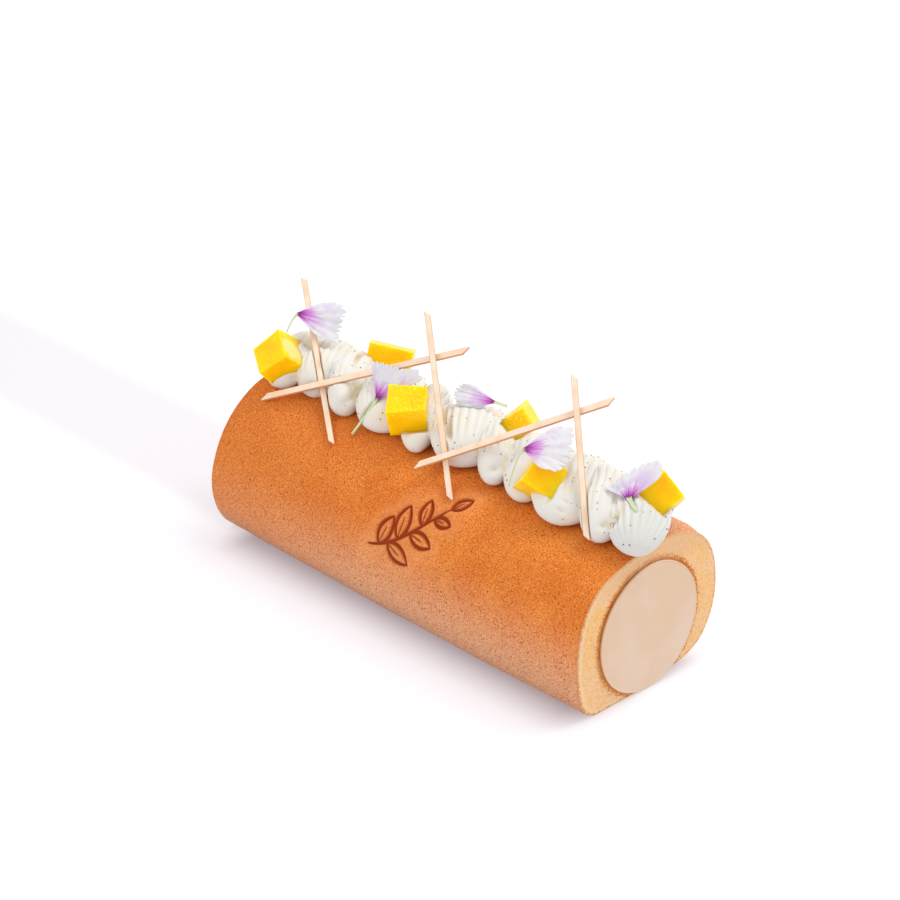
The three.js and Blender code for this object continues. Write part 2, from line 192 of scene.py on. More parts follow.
# Petals: end of the claw, throat, middle line and facing of the limb, its spread in degrees, and how far it
# reaches from the fan's hub, at equal angles from one side to the other
PETALS = {
    "petal_1": ((-98.6, 2.4, 76.6), (-92.3, 4.2, 86.4), (8, 5.8, -1.2), (5, -5.5, 6.7), 76,
                (11.8, 20.1, 19.4, 19.3, 20.5, 18.5, 9.5)),
    "petal_2": ((-40.4, -16.1, 59.5), (-35.9, -6, 74), (0.6, 5.8, 8.2), (0.8, -8.2, 5.7), 90,
                (22, 21, 16, 14.7, 14.6, 15.4, 16.6)),
    "petal_3": ((8.6, 19.6, 76.6), (4.3, 16.1, 78.3), (-8.7, -4.9, 0.8), (3.5, -5, 7.9), 52,
                (11.9, 16.9, 18.1, 17.5, 16.8, 13.9, 7.3)),
    "petal_4": ((42.9, -14.1, 68.4), (47.9, -9.7, 83.9), (8.1, 5.9, 0.2), (2.5, -3.7, 9), 100,
                (10.4, 16.9, 17.4, 17.8, 18.7, 20.6, 16.5)),
    "petal_5": ((95.8, -2.5, 74.4), (89.2, 0.4, 76.6), (-5.5, 6.5, 5.2), (1, -5.7, 8.2), 112,
                (14.5, 19.5, 17, 13, 11, 10.5, 12)),
}
PETAL_THICKNESS = 0.3
PETAL_COLUMNS = 133
CLAW_ROWS = 24
LIMB_ROWS = 44
THROAT_RADIUS = 1.6
CLAW_BEND = 0.2
TEETH = 11
TOOTH_DEPTH = 0.13  # share of the limb's reach

# Stage: the lights' place, what they face, size and power
FLOOR_HALF = 4000.0
WORLD_STRENGTH = 0.9
LIGHTS = {"key": ((300, 700, 1250), (0, 0, 20), 900, 9.5),
          "fill": ((-300, -1300, 700), (0, 0, 30), 1000, 3.0)}

# Numbers and colours

def lerp(a, b, t):
    return a + (b - a) * t


def smooth(low, high, value):
    t = np.clip((value - low) / (high - low), 0, 1)
    return t * t * (3 - 2 * t)


def unit(v):
    v = np.asarray(v, float)
    return v / np.linalg.norm(v)


def square_to(axis, v):
    """Direction of v without its share along axis."""
    return unit(v - axis * (v @ axis))


def colour(red, green, blue):
    """Linear RGBA of a colour given as 0 to 255."""
    channels = [c / 255 for c in (red, green, blue)]
    return [c / 12.92 if c <= 0.04045 else ((c + 0.055) / 1.055) ** 2.4 for c in channels] + [1.0]


def noise(points, size, seed):
    """Smooth noise from -1 to 1 whose bumps are about size across."""
    scaled = np.asarray(points, float) / size + seed * 17.31
    cell = np.floor(scaled).astype(np.int64)
    part = scaled - cell
    part = part * part * (3 - 2 * part)
    total = np.zeros(len(scaled))
    for corner in np.ndindex(2, 2, 2):
        at = cell + np.array(corner)
        mixed = (at[:, 0] * 73856093) ^ (at[:, 1] * 19349663) ^ (at[:, 2] * 83492791) ^ (seed * 40503)
        mixed = (mixed ^ (mixed >> 13)) * 1274126177 & 0x7FFFFFFF
        weight = np.prod(np.where(np.array(corner) == 1, part, 1 - part), axis=1)
        total += weight * ((mixed % 10007) / 5003.5 - 1)
    return total


def waves(points, layers, seed):
    """Sum of noises, each with its height and the size of its bumps."""
    return sum(height * noise(points, size, seed + k) for k, (height, size) in enumerate(layers))


def spline(a, b, c, d, t):
    """Value between b and c on the smooth curve through all four."""
    start = 2 * b + (c - a) * t + (2 * a - 5 * b + 4 * c - d) * t * t
    return 0.5 * (start + (3 * b - a - 3 * c + d) * t ** 3)


def catmull(points, count):
    """Smooth open curve through the points, sampled evenly by length."""
    p = np.vstack([2 * points[0] - points[1], points, 2 * points[-1] - points[-2]])
    fine = []
    for i in range(1, len(p) - 2):
        fine += [spline(*p[i - 1:i + 3], t) for t in np.linspace(0, 1, 12, endpoint=False)]
    return resample(np.array(fine + [p[-2]]), np.linspace(0, 1, count))


def resample(line, shares):
    length = np.concatenate([[0], np.cumsum(np.linalg.norm(np.diff(line, axis=0), axis=1))])
    return np.stack([np.interp(shares * length[-1], length, line[:, k]) for k in range(line.shape[1])], 1)


def bezier(a, b, c, count=40):
    a, b, c = (np.asarray(p, float) for p in (a, b, c))
    t = np.linspace(0, 1, count)[:, None]
    return (1 - t) ** 2 * a + 2 * t * (1 - t) * b + t * t * c


def outward_of(outline):
    """Outward directions along a closed outline, or along each of a stack of them."""
    tangent = np.roll(outline, -1, axis=-2) - np.roll(outline, 1, axis=-2)
    outward = np.stack([tangent[..., 1], -tangent[..., 0]], -1)
    return outward / np.linalg.norm(outward, axis=-1, keepdims=True)


# Meshes

def make_piece(name, points, faces, materials, indices=None, attributes=None):
    """A mesh object from points in millimetres that rides on the one body."""
    mesh = bpy.data.meshes.new(name)
    mesh.from_pydata([tuple(p) for p in np.asarray(points) * MM], [], [tuple(f) for f in faces])
    for material in materials:
        mesh.materials.append(material)
    if indices is not None:
        mesh.polygons.foreach_set("material_index", np.asarray(indices, np.int32))
    set_attributes(mesh, attributes or {})
    mesh.polygons.foreach_set("use_smooth", np.ones(len(mesh.polygons), bool))
    mesh.update()
    piece = bpy.data.objects.new(name, mesh)
    bpy.context.scene.collection.objects.link(piece)
    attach(piece, "root")
    return piece


def set_attributes(mesh, attributes):
    for key, values in attributes.items():
        layer = mesh.attributes.new(key, "FLOAT", "POINT")
        layer.data.foreach_set("value", np.asarray(values, np.float32))


def grid_faces(rows, columns, wrap, start=0):
    """Quads of a grid of points, wrapped round its columns if asked."""
    near = start + np.arange(rows - 1)[:, None] * columns
    far = near + columns
    k = np.arange(columns if wrap else columns - 1)[None, :]
    after = (k + 1) % columns
    return np.stack([near + k, near + after, far + after, far + k], -1).reshape(-1, 4)


def tube_faces(rows, columns, start=0):
    """Faces of a tube of rings, with one face over each end."""
    last = start + (rows - 1) * columns
    faces = [list(f) for f in grid_faces(rows, columns, True, start)]
    faces.append(list(range(start, start + columns))[::-1])
    faces.append(list(range(last, last + columns)))
    return faces


def ring_cover(start, count):
    """A strip of quads that closes a ring of points from side to side."""
    last = start + count - 1
    return [[start + k, start + k + 1, last - 1 - k, last - k] for k in range(count // 2 - 1)]


def read(items, key, width, kind=float):
    """What Blender keeps under key, as one row for each item."""
    flat = np.zeros(len(items) * width, kind)
    items.foreach_get(key, flat)
    return flat.reshape(-1, width)


def points_of(piece):
    return read(piece.data.vertices, "co", 3) / MM


def normals_of(piece):
    return read(piece.data.vertex_normals, "vector", 3)


def set_points(piece, points):
    piece.data.vertices.foreach_set("co", (np.asarray(points) * MM).ravel())
    piece.data.update()


def add_modifier(piece, kind, **settings):
    modifier = piece.modifiers.new(kind.lower(), kind)
    for key, value in settings.items():
        setattr(modifier, key, value)


def apply_modifiers(piece):
    graph = bpy.context.evaluated_depsgraph_get()
    made = bpy.data.meshes.new_from_object(piece.evaluated_get(graph))
    old = piece.data
    piece.modifiers.clear()
    piece.data = made
    bpy.data.meshes.remove(old)
    made.name = piece.name
    made.polygons.foreach_set("use_smooth", np.ones(len(made.polygons), bool))


# Materials

class Material:
    """A node material with a Principled shader, coordinates in millimetres and a base colour in layers."""

    def __init__(self, name, base, **sockets):
        self.made = bpy.data.materials.new(name)
        self.made.use_nodes = True
        self.tree = self.made.node_tree
        self.shader = self.tree.nodes["Principled BSDF"]
        self.base = base
        for socket, value in sockets.items():
            self.shader.inputs[socket.replace("_", " ")].default_value = value
        place = self.node("ShaderNodeTexCoord").outputs["Object"]
        scaled = self.node("ShaderNodeVectorMath", {0: place, "Scale": 1 / MM}, operation="SCALE")
        self.place = scaled.outputs[0]

    def fill(self, node, sockets):
        """Sets a node's input sockets to values or links them to outputs."""
        for socket, value in sockets.items():
            if isinstance(value, bpy.types.NodeSocket):
                self.tree.links.new(value, node.inputs[socket])
            else:
                node.inputs[socket].default_value = value

    def node(self, kind, sockets=None, **settings):
        made = self.tree.nodes.new(kind)
        for key, value in settings.items():
            setattr(made, key, value)
        self.fill(made, sockets or {})
        return made

    def noise(self, size, detail=3.0, roughness=0.5, place=None):
        sockets = {"Vector": place or self.place, "Scale": 1 / size, "Detail": detail, "Roughness": roughness}
        return self.node("ShaderNodeTexNoise", sockets).outputs["Fac"]

    def spots(self, size):
        made = self.node("ShaderNodeTexVoronoi", {"Vector": self.place, "Scale": 1 / size})
        return made.outputs["Distance"]

    def ramp(self, value, low, high, at_high=1.0, at_low=0.0):
        """A smooth step of value from at_low to at_high."""
        sockets = {"Value": value, "From Min": low, "From Max": high, "To Min": at_low, "To Max": at_high}
        return self.node("ShaderNodeMapRange", sockets, interpolation_type="SMOOTHSTEP").outputs["Result"]

    def math(self, operation, a, b=0.0):
        return self.node("ShaderNodeMath", {0: a, 1: b}, operation=operation).outputs[0]

    def times(self, a, b):
        return self.math("MULTIPLY", a, b)

    def plus(self, a, b):
        return self.math("ADD", a, b)

    def wander(self, value, noise, amount):
        """The value, moved up and down by a noise."""
        return self.plus(value, self.times(self.math("SUBTRACT", noise, 0.5), amount))

    def mix(self, share, a, b):
        return self.node("ShaderNodeMix", {0: share, 6: a, 7: b}, data_type="RGBA").outputs[2]

    def attribute(self, name):
        return self.node("ShaderNodeAttribute", attribute_name=name).outputs["Fac"]

    def axis(self, name):
        return self.node("ShaderNodeSeparateXYZ", {0: self.place}).outputs[name]

    def tint(self, share, *tone):
        """Lays a colour over the base colour, by share."""
        self.base = self.mix(share, self.base, colour(*tone))

    def finish(self, height=None, strength=0.0, distance=0.0):
        """Hands the base colour and a bump to the shader, and gives the material."""
        self.fill(self.shader, {"Base Color": self.base})
        if height:
            sockets = {"Height": height, "Strength": strength, "Distance": distance * MM}
            self.fill(self.shader, {"Normal": self.node("ShaderNodeBump", sockets).outputs[0]})
        return self.made


def crust_material():
    m = Material("browned_crust", colour(229, 133, 50), Roughness=0.75, Specular_IOR_Level=0.2)
    x, y, z = m.axis("X"), m.axis("Y"), m.axis("Z")
    # Broad tones: blotches and a darker far end, then painted light and shade: paler low on the side, duller
    # at the floor, paler behind the cream
    m.tint(m.ramp(m.noise(24, 4, 0.6), 0.38, 0.62), 219, 118, 37)
    # Painted light bounced from the floor: the crust is paler low on the side
    m.tint(m.ramp(z, 44, 10, 0.9), 214, 166, 128)
    m.tint(m.ramp(x, 0, -95, 0.6), 212, 118, 44)
    # Painted shade: the crust is duller near the floor, less so at the near end
    m.tint(m.times(m.ramp(z, 16, 1), m.ramp(x, 95, 0, 0.85, 0.35)), 182, 146, 124)
    # Painted sheen: the crust is paler on the top behind the cream, as seen at a grazing angle
    m.tint(m.times(m.ramp(y, 2, 16), m.ramp(z, 44, 56, 0.75)), 224, 176, 140)
    # Fine grain with dark and light grains, and two sizes of dark dots
    grain = m.noise(0.6, 3, 0.8)
    m.tint(m.ramp(grain, 0.48, 0.64, 0.95), 174, 80, 24)
    m.tint(m.ramp(grain, 0.45, 0.3, 0.75), 248, 176, 106)
    for size, low, share, tone in ((1.5, 0.26, 0.7, (140, 62, 18)), (2.6, 0.17, 0.85, (88, 40, 18))):
        here = m.ramp(m.noise(size * 1.7, 1), 0.46, 0.56, share)
        m.tint(m.times(m.ramp(m.spots(size), low, low * 0.45), here), *tone)
    # The pressed sprig and the lighter crust round it
    m.tint(m.ramp(m.attribute("halo"), 0.0, 1.0, 0.22), 244, 168, 112)
    m.tint(m.ramp(m.attribute("press"), 0.1, 0.75), 154, 56, 10)
    return m.finish(m.noise(0.8, 4, 0.7), 0.35, 0.2)


def crumb_material():
    m = Material("yellow_crumb", colour(240, 198, 150), Roughness=0.8, Specular_IOR_Level=0.15)
    m.tint(m.ramp(m.noise(8, 4, 0.65), 0.4, 0.62), 242, 194, 130)
    m.tint(m.ramp(m.noise(0.7, 3, 0.8), 0.46, 0.64, 0.55), 206, 146, 90)
    y = m.math("SUBTRACT", m.axis("Y"), CENTRE_SIDE)
    z = m.math("SUBTRACT", m.axis("Z"), CENTRE_HEIGHT)
    # A pale band inside the cut edge, and the browned edge itself
    ragged = m.wander(m.attribute("depth"), m.noise(1.3, 3), 1.6)
    pale = m.times(m.ramp(ragged, 0.4, 0.9), m.ramp(ragged, 2.6, 1.6))
    m.tint(m.times(pale, m.ramp(y, -5, 15, 0.15, 0.6)), 236, 206, 172)
    m.tint(m.ramp(ragged, 0.8, 0.1, 0.8), 196, 128, 78)
    # The brown ring round the plaque
    wide = m.math("DIVIDE", y, PLAQUE_NARROW)
    radius = m.math("SQRT", m.plus(m.times(wide, wide), m.times(z, z)))
    strong = m.ramp(m.plus(m.times(y, 0.6), m.times(z, 0.7)), -26, 8, 1.0, 0.75)
    line = m.ramp(m.wander(radius, m.noise(0.9, 3, 0.8), 10.0), 28.6, 27.5)
    m.tint(m.times(line, strong), 194, 106, 14)
    m.tint(m.ramp(m.axis("Z"), 44, 56, 0.6), 222, 178, 134)
    return m.finish(m.noise(0.8, 4, 0.75), 0.35, 0.4)


def plaque_material():
    m = Material("caramel_chocolate", colour(222, 196, 172), Roughness=0.42, Specular_IOR_Level=0.4,
                 Subsurface_Weight=0.2, Subsurface_Scale=MM, Subsurface_Radius=(1.5, 1.0, 0.6))
    m.tint(m.ramp(m.noise(22, 3, 0.5), 0.38, 0.64), 219, 189, 158)
    return m.finish(m.noise(9, 2), 0.15, 0.4)


def cream_material():
    m = Material("whipped_cream", colour(222, 220, 214), Roughness=0.5, Specular_IOR_Level=0.25,
                 Subsurface_Weight=0.15, Subsurface_Scale=MM, Subsurface_Radius=(1.4, 1.2, 0.9))
    m.tint(m.ramp(m.noise(9, 3), 0.4, 0.7), 224, 218, 204)
    # Painted shade: the cream of the bulb at the near end is greyed
    m.tint(m.ramp(m.axis("X"), 84, 100, 0.7), 206, 206, 204)
    # Painted shade: a warm shade laid into the cream's hollows and creases
    m.tint(m.ramp(m.attribute("hollow_shade"), 0.04, 0.45, 0.75), 222, 206, 168)
    return m.finish(m.noise(1.3, 4, 0.6), 0.22, 0.3)


def speck_material():
    m = Material("vanilla_speck", colour(52, 42, 38), Roughness=0.6)
    m.tint(m.noise(0.6, 2), 92, 78, 66)
    return m.finish()


def mango_material():
    # Painted light: a faint orange glow lifts the shaded faces of the mango
    m = Material("mango_flesh", colour(255, 201, 0), Roughness=0.3, Specular_IOR_Level=0.15,
                 Subsurface_Weight=0.9, Subsurface_Scale=MM, Subsurface_Radius=(8.0, 5.0, 0.3),
                 Emission_Strength=0.1, Emission_Color=colour(255, 190, 0))
    m.tint(m.ramp(m.noise(7, 3, 0.6), 0.36, 0.66), 255, 187, 0)
    # Painted highlights: pale glints in small pits, most on the tops of the listed dice
    pit_glints = m.ramp(m.noise(0.9, 3, 0.7), 0.52, 0.66)
    m.tint(m.times(pit_glints, m.ramp(m.attribute("top_glint"), 0, 1, 0.8, 0.25)), 255, 230, 90)
    m.tint(m.ramp(m.attribute("edge"), 0.1, 0.9, 0.3), 255, 216, 80)
    m.tint(m.ramp(m.attribute("worn"), 0.2, 0.8, 0.85), 252, 214, 140)
    return m.finish(m.noise(0.9, 3, 0.6), 0.35, 0.2)


def stick_material():
    m = Material("tinted_chocolate", colour(238, 218, 196), Roughness=0.38, Specular_IOR_Level=0.4,
                 Subsurface_Weight=0.3, Subsurface_Scale=MM, Subsurface_Radius=(1.5, 1.0, 0.6))
    m.tint(m.ramp(m.noise(7, 3), 0.35, 0.7), 234, 204, 174)
    m.tint(m.ramp(m.attribute("narrow"), 0.3, 0.8, 0.9), 208, 146, 100)
    return m.finish(m.noise(1.5, 3), 0.15, 0.2)


def petal_material():
    m = Material("fringed_petal", colour(210, 207, 217), Roughness=0.6, Specular_IOR_Level=0.25,
                 Subsurface_Weight=0.35, Subsurface_Scale=MM, Subsurface_Radius=(1.2, 1.0, 1.3))
    reach = m.attribute("reach")
    across = m.times(m.attribute("across"), 9.0)
    drawn_out = m.node("ShaderNodeCombineXYZ", {0: across, 1: m.times(reach, 1.4)})
    streak = m.noise(1.0, 3, 0.6, place=drawn_out.outputs[0])
    m.tint(m.ramp(reach, 0.25, 0.95), 213, 213, 218)
    m.tint(m.times(m.ramp(m.noise(5, 2), 0.45, 0.6), m.ramp(reach, 1.0, 0.35, 0.8)), 200, 176, 214)
    m.tint(m.ramp(streak, 0.5, 0.3, 0.4), 186, 184, 198)
    # From the lilac limb down to the dark throat, and the green claw below it
    edge = m.wander(reach, streak, 0.9)
    m.tint(m.ramp(edge, 0.46, 0.14, 0.9), 190, 102, 192)
    m.tint(m.ramp(edge, 0.18, 0.02), 150, 40, 144)
    m.tint(m.ramp(edge, 0.1, -0.1, 0.8), 96, 22, 100)
    m.tint(m.ramp(reach, -0.05, -0.3), 200, 212, 168)
    return m.finish()


def floor_material():
    """A pale floor that glows a little, with the soft shade along the roll painted in. The shade before the
    near end runs on along the middle line, so it shows faintly past the far end too."""
    m = Material("studio_floor", colour(183, 181, 186), Roughness=0.9, Specular_IOR_Level=0.0,
                 Emission_Strength=0.52)
    x, y = m.axis("X"), m.axis("Y")
    beside = m.times(m.ramp(x, 108, 88), m.ramp(x, -98, -84))
    beside = m.times(beside, m.times(m.ramp(y, -50, -26), m.ramp(y, 20, -20)))
    before = m.times(m.ramp(x, 104, 99, 0.28), m.ramp(m.math("ABSOLUTE", y), 36, 22))
    shade = m.math("MAXIMUM", beside, before)
    m.tint(shade, 142, 132, 137)
    glow = m.mix(shade, [1.0, 0.98, 1.0, 1.0], [0.56, 0.49, 0.52, 1.0])
    m.fill(m.shader, {"Emission Color": glow})
    return m.finish()


# Rolled sponge

def cad_sections():
    """The solid's sections: their x, and points from the right end of the flat underside to its left."""
    points = points_of(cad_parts["sponge_roll"])
    sections = {}
    for x in np.unique(points[:, 0].round(2)):
        ring = np.unique(points[np.abs(points[:, 0] - x) < 0.05][:, 1:].round(4), axis=0)
        middle = ring.mean(0)
        ring = ring[np.linalg.norm(ring - middle, axis=1) > 10]
        turn = np.arctan2(ring[:, 1] - middle[1], ring[:, 0] - middle[0])
        ring = ring[np.argsort(turn)]
        gaps = np.linalg.norm(np.roll(ring, -1, axis=0) - ring, axis=1)
        sections[x] = np.roll(ring, -int(np.argmax(gaps)) - 1, axis=0)
    return np.array(list(sections)), list(sections.values())


def sprig_strokes():
    """Lines of the sprig, each with its shares of the full width and depth."""
    stem = bezier(*SPRIG_STEM, 140)
    strokes = [(stem, 0.8, 1.0)]
    for share, side, length in SPRIG_LEAVES:
        at = int(share * (len(stem) - 1))
        root = stem[at]
        ahead = unit(stem[min(at + 1, len(stem) - 1)] - stem[max(at - 1, 0)])
        heading = math.atan2(ahead[1], ahead[0]) + side * LEAF_TURN
        tip = root + length * np.array([math.cos(heading), math.sin(heading)])
        across = np.array([-math.sin(heading), math.cos(heading)])
        for bulge in (LEAF_BULGE, -LEAF_BULGE):
            belly = lerp(root, tip, 0.45) + across * bulge * length
            strokes.append((bezier(root, belly, tip), 1.0, 1.0))
        strokes.append((bezier(root, lerp(root, tip, 0.4), lerp(root, tip, 0.62)), 0.4, 0.8))
    return strokes


def sprig_distance(spots):
    """How deep each spot lies in a pressed line, and how near it is to the sprig as a whole."""
    press = np.zeros(len(spots))
    near = np.full(len(spots), FAR)
    for line, width, depth in sprig_strokes():
        taper = np.sin(np.linspace(0.25, math.pi - 0.2, len(line))) ** 0.5
        away = np.linalg.norm(spots[:, None, :] - line[None, :, :], axis=2)
        nearest = away.argmin(1)
        gap = away[np.arange(len(spots)), nearest]
        press = np.maximum(press, depth * np.exp(-(gap / (GROOVE_HALF * width * taper[nearest])) ** 2))
        near = np.minimum(near, gap)
    return press, near


def make_sponge(crust, crumb):
    xs, rings = cad_sections()
    fine = [catmull(ring, SECTION_POINTS) for ring in rings]
    height = fine[len(fine) // 2][:, 1]
    left = np.arange(len(height)) > height.argmax()
    centre = np.argmin(np.where(left, np.abs(height - SPRIG_Z), FAR)) / (len(height) - 1)
    girth = np.linalg.norm(np.diff(fine[0], axis=0), axis=1).sum()
    shares = spaced(0, girth, centre * girth) / girth
    bottom = int(np.linalg.norm(fine[0][0] - fine[0][-1]) / SIDE_STEP)
    stations = spaced(-HALF_LENGTH + RIM_ROUND, HALF_LENGTH - RIM_ROUND, SPRIG_X)
    stack = np.array([resample(line, shares) for line in fine])
    rows = []
    for x in stations:
        section = interpolate_sections(xs, stack, x)
        under = lerp(section[-1], section[0], np.linspace(0, 1, bottom + 1)[1:-1, None])
        rows.append(np.vstack([section, under]))
    rows = np.array(rows)
    count = rows.shape[1]
    body = np.column_stack([np.repeat(stations, count), rows.reshape(-1, 2)])
    # Arc length runs down the left side, and the underside is far from the sprig
    up = np.concatenate([centre * girth - shares * girth, np.full(count - len(shares), FAR)])
    press, near = sprig_distance(np.column_stack([body[:, 0] - SPRIG_X, np.tile(up, len(stations))]))
    halo = np.exp(-(np.clip(near - 1, 0, None) / HALO_REACH) ** 2)
    points = [add_relief(body, rows, press, near)]
    faces = [grid_faces(len(stations), count, True)]
    indices = [np.zeros(len(faces[0]))]
    depth = [np.zeros(len(body))]
    for end in (1, -1):
        cap, cap_faces, cap_depth = end_cap(rows[-1 if end > 0 else 0], end)
        start = sum(len(p) for p in points)
        rim = np.arange(count) + ((len(stations) - 1) * count if end > 0 else 0)
        first = np.arange(count) + start
        bridge = np.stack([rim, np.roll(rim, -1), np.roll(first, -1), first], 1)
        both = np.vstack([bridge, cap_faces + start])
        points.append(cap)
        faces.append(both if end > 0 else both[:, ::-1])
        indices.append(np.concatenate([np.zeros(count), np.ones(len(cap_faces))]))
        depth.append(cap_depth)
    on_caps = np.zeros(sum(len(p) for p in points) - len(body))
    attributes = {"press": np.concatenate([press, on_caps]), "halo": np.concatenate([halo, on_caps]),
                  "depth": np.concatenate(depth)}
    piece = make_piece("sponge", np.vstack(points), np.vstack(faces), [crust, crumb],
                       np.concatenate(indices), attributes)
    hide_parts("sponge_roll")


def spaced(low, high, middle):
    """Values from low to high, close together within the sprig's reach of middle."""
    values = [low]
    while values[-1] < high:
        gap = abs(values[-1] - middle) - SPRIG_REACH
        values.append(values[-1] + (FINE_STEP if gap < 0 else min(SIDE_STEP, FINE_STEP + STEP_GROWTH * gap)))
    values = np.array(values)
    return low + (values - low) * (high - low) / (values[-1] - low)


def interpolate_sections(xs, stack, x):
    i = int(np.clip(np.searchsorted(xs, x) - 1, 0, len(xs) - 2))
    t = (x - xs[i]) / (xs[i + 1] - xs[i])
    return spline(stack[max(i - 1, 0)], stack[i], stack[i + 1], stack[min(i + 2, len(xs) - 1)], t)


def add_relief(body, rows, press, near):
    """Waves of the crust and the pressed sprig, along the outward direction."""
    lift = waves(body, CRUST_WAVES, 1)
    lift -= GROOVE_DEPTH * press
    lift += LIP_HEIGHT * np.exp(-((near - LIP_AT) / LIP_HALF) ** 2)
    lift -= CRUST_SINK
    lift += BACK_SWELL * smooth(0, 12, body[:, 1]) * smooth(42, 56, body[:, 2]) * smooth(99, 92, body[:, 0])
    lift *= smooth(*UNDERSIDE, body[:, 2])
    sides = body[:, 1:] + outward_of(rows).reshape(-1, 2) * lift[:, None]
    y = np.clip(sides[:, 0], cad_low[1] / MM, cad_high[1] / MM)
    return np.column_stack([body[:, 0], y, np.maximum(sides[:, 1], 0)])


def end_cap(outline, end):
    """Cut end as rings that shrink towards the middle, with its rounded rim."""
    middle = np.array([CENTRE_SIDE, CENTRE_HEIGHT])
    count = len(outline)
    points = []
    depth = []
    for turn in (0.4, 0.8, 1.2, math.pi / 2):
        inset, out = RIM_ROUND * (1 - math.cos(turn)), RIM_ROUND * math.sin(turn)
        drawn = inset + RIM_DRAW * smooth(*UNDERSIDE, outline[:, 1])
        edge = outline - outward_of(outline) * drawn[:, None]
        points.append(np.column_stack([np.full(count, end * (HALF_LENGTH - RIM_ROUND + out)), edge]))
        depth.append(np.full(count, inset))
    for k in range(1, CAP_RINGS + 1):
        share = 1 - (k / (CAP_RINGS + 1)) ** 1.1
        gap = np.linalg.norm(edge - middle, axis=1) * (1 - share)
        flat = np.column_stack([np.full(count, end * HALF_LENGTH), lerp(middle, edge, share)])
        flat[:, 0] += end * smooth(0, 2, gap) * (waves(flat, CRUMB_WAVES, 5) - CRUMB_SINK)
        points.append(flat)
        depth.append(gap)
    cover = ring_cover((len(points) - 1) * count, count)
    faces = np.vstack([grid_faces(len(points), count, True), cover])
    return np.vstack(points), faces, np.concatenate(depth)


# Plaques

def make_plaque(node, material):
    low, high = (np.array(corner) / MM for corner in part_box(node))
    aside, middle = (low[1:] + high[1:]) / 2
    radius = (high[2] - low[2]) / 2
    out = 1 if low[0] > 0 else -1
    inner = out * (HALF_LENGTH - 0.1)
    outer = high[0] if out > 0 else low[0]
    profile = [(PLAQUE_MIDDLE, inner), (radius - 3, inner), (radius - 0.3, inner),
               (radius, lerp(inner, outer, 0.3))]
    for turn in np.linspace(0, math.pi / 2, 6):
        inset, sunk = PLAQUE_ROUND * (1 - math.cos(turn)), PLAQUE_ROUND * (1 - math.sin(turn))
        profile.append((radius - inset, outer - out * sunk))
    profile += [(r, outer) for r in np.linspace(radius - 1, PLAQUE_MIDDLE, 26)]
    turns = np.linspace(0, 2 * math.pi, PLAQUE_SIDES, endpoint=False)
    wave = 0.12 * np.sin(2 * turns + 1) + 0.08 * np.sin(5 * turns)
    points = []
    for r, x in profile:
        edge = r * (1 + wave / radius * smooth(radius * 0.5, radius, r) - 0.2 / radius)
        across = aside + edge * PLAQUE_NARROW * np.cos(turns)
        ring = np.column_stack([np.full(len(turns), x), across, middle + edge * np.sin(turns)])
        if x == outer:
            ring[:, 0] += out * (0.1 * noise(ring, 17, 8) - 0.1)
        points.append(ring)
    front = ring_cover((len(points) - 1) * PLAQUE_SIDES, PLAQUE_SIDES)
    back = [quad[::-1] for quad in ring_cover(0, PLAQUE_SIDES)]
    faces = np.vstack([grid_faces(len(points), PLAQUE_SIDES, True), back, front])
    if out < 0:
        faces = faces[:, ::-1]
    piece = make_piece(node + "_glazed", np.vstack(points), faces, [material])
    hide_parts(node)


# Cream

def crust_height(y):
    return CRUST_TOP - (y - CRUST_CREST) ** 2 / (2 * CRUST_ROUND)


def pass_points(bulb, number):
    """One fluted pass of cream as rings of points, from its back tip to its round front bulb."""
    x, front_y, half, run = bulb
    front = np.array([x, front_y], float)
    back = np.array([x - run, PASS_BACK], float)
    ahead = unit(front - back)
    across = np.array([-ahead[1], ahead[0]])
    angles = np.linspace(0, 2 * math.pi, PASS_SIDES, endpoint=False)
    upper = smooth(-0.35, 0.15, np.sin(angles))
    flutes = round(math.pi * (half + PASS_HEIGHT) / 2 / FLUTE_SPACING)
    depth_here = FLUTE_DEPTH * FLUTE_SHARES[number]
    rings = []
    for share in np.linspace(0.02, 0.98, PASS_RINGS):
        t = (1 - math.cos(math.pi * share)) / 2
        swell = math.sqrt(max(1e-4, 1 - abs(2 * t - 1) ** PASS_BLUNT))
        centre = lerp(back, front, t)
        height = crust_height(centre[1]) + PASS_END_LIFT + PASS_RISE * math.sin(math.pi * t)
        fade = float(smooth(*(FULL_FLUTES if number == 0 else SHORT_FLUTES), t)) * float(smooth(0.0, 0.1, t))
        phase = 2 * flutes * angles + 0.8 * math.sin(3 * t + number)
        groove = (0.5 + 0.5 * np.cos(phase)) ** 2.2
        depth = depth_here * groove * upper * swell * fade
        reach = (half * swell - depth) * np.cos(angles)
        rise = height + (PASS_HEIGHT * swell - depth) * np.sin(angles)
        rings.append(np.column_stack([centre + across * reach[:, None], rise]))
    return np.array(rings)


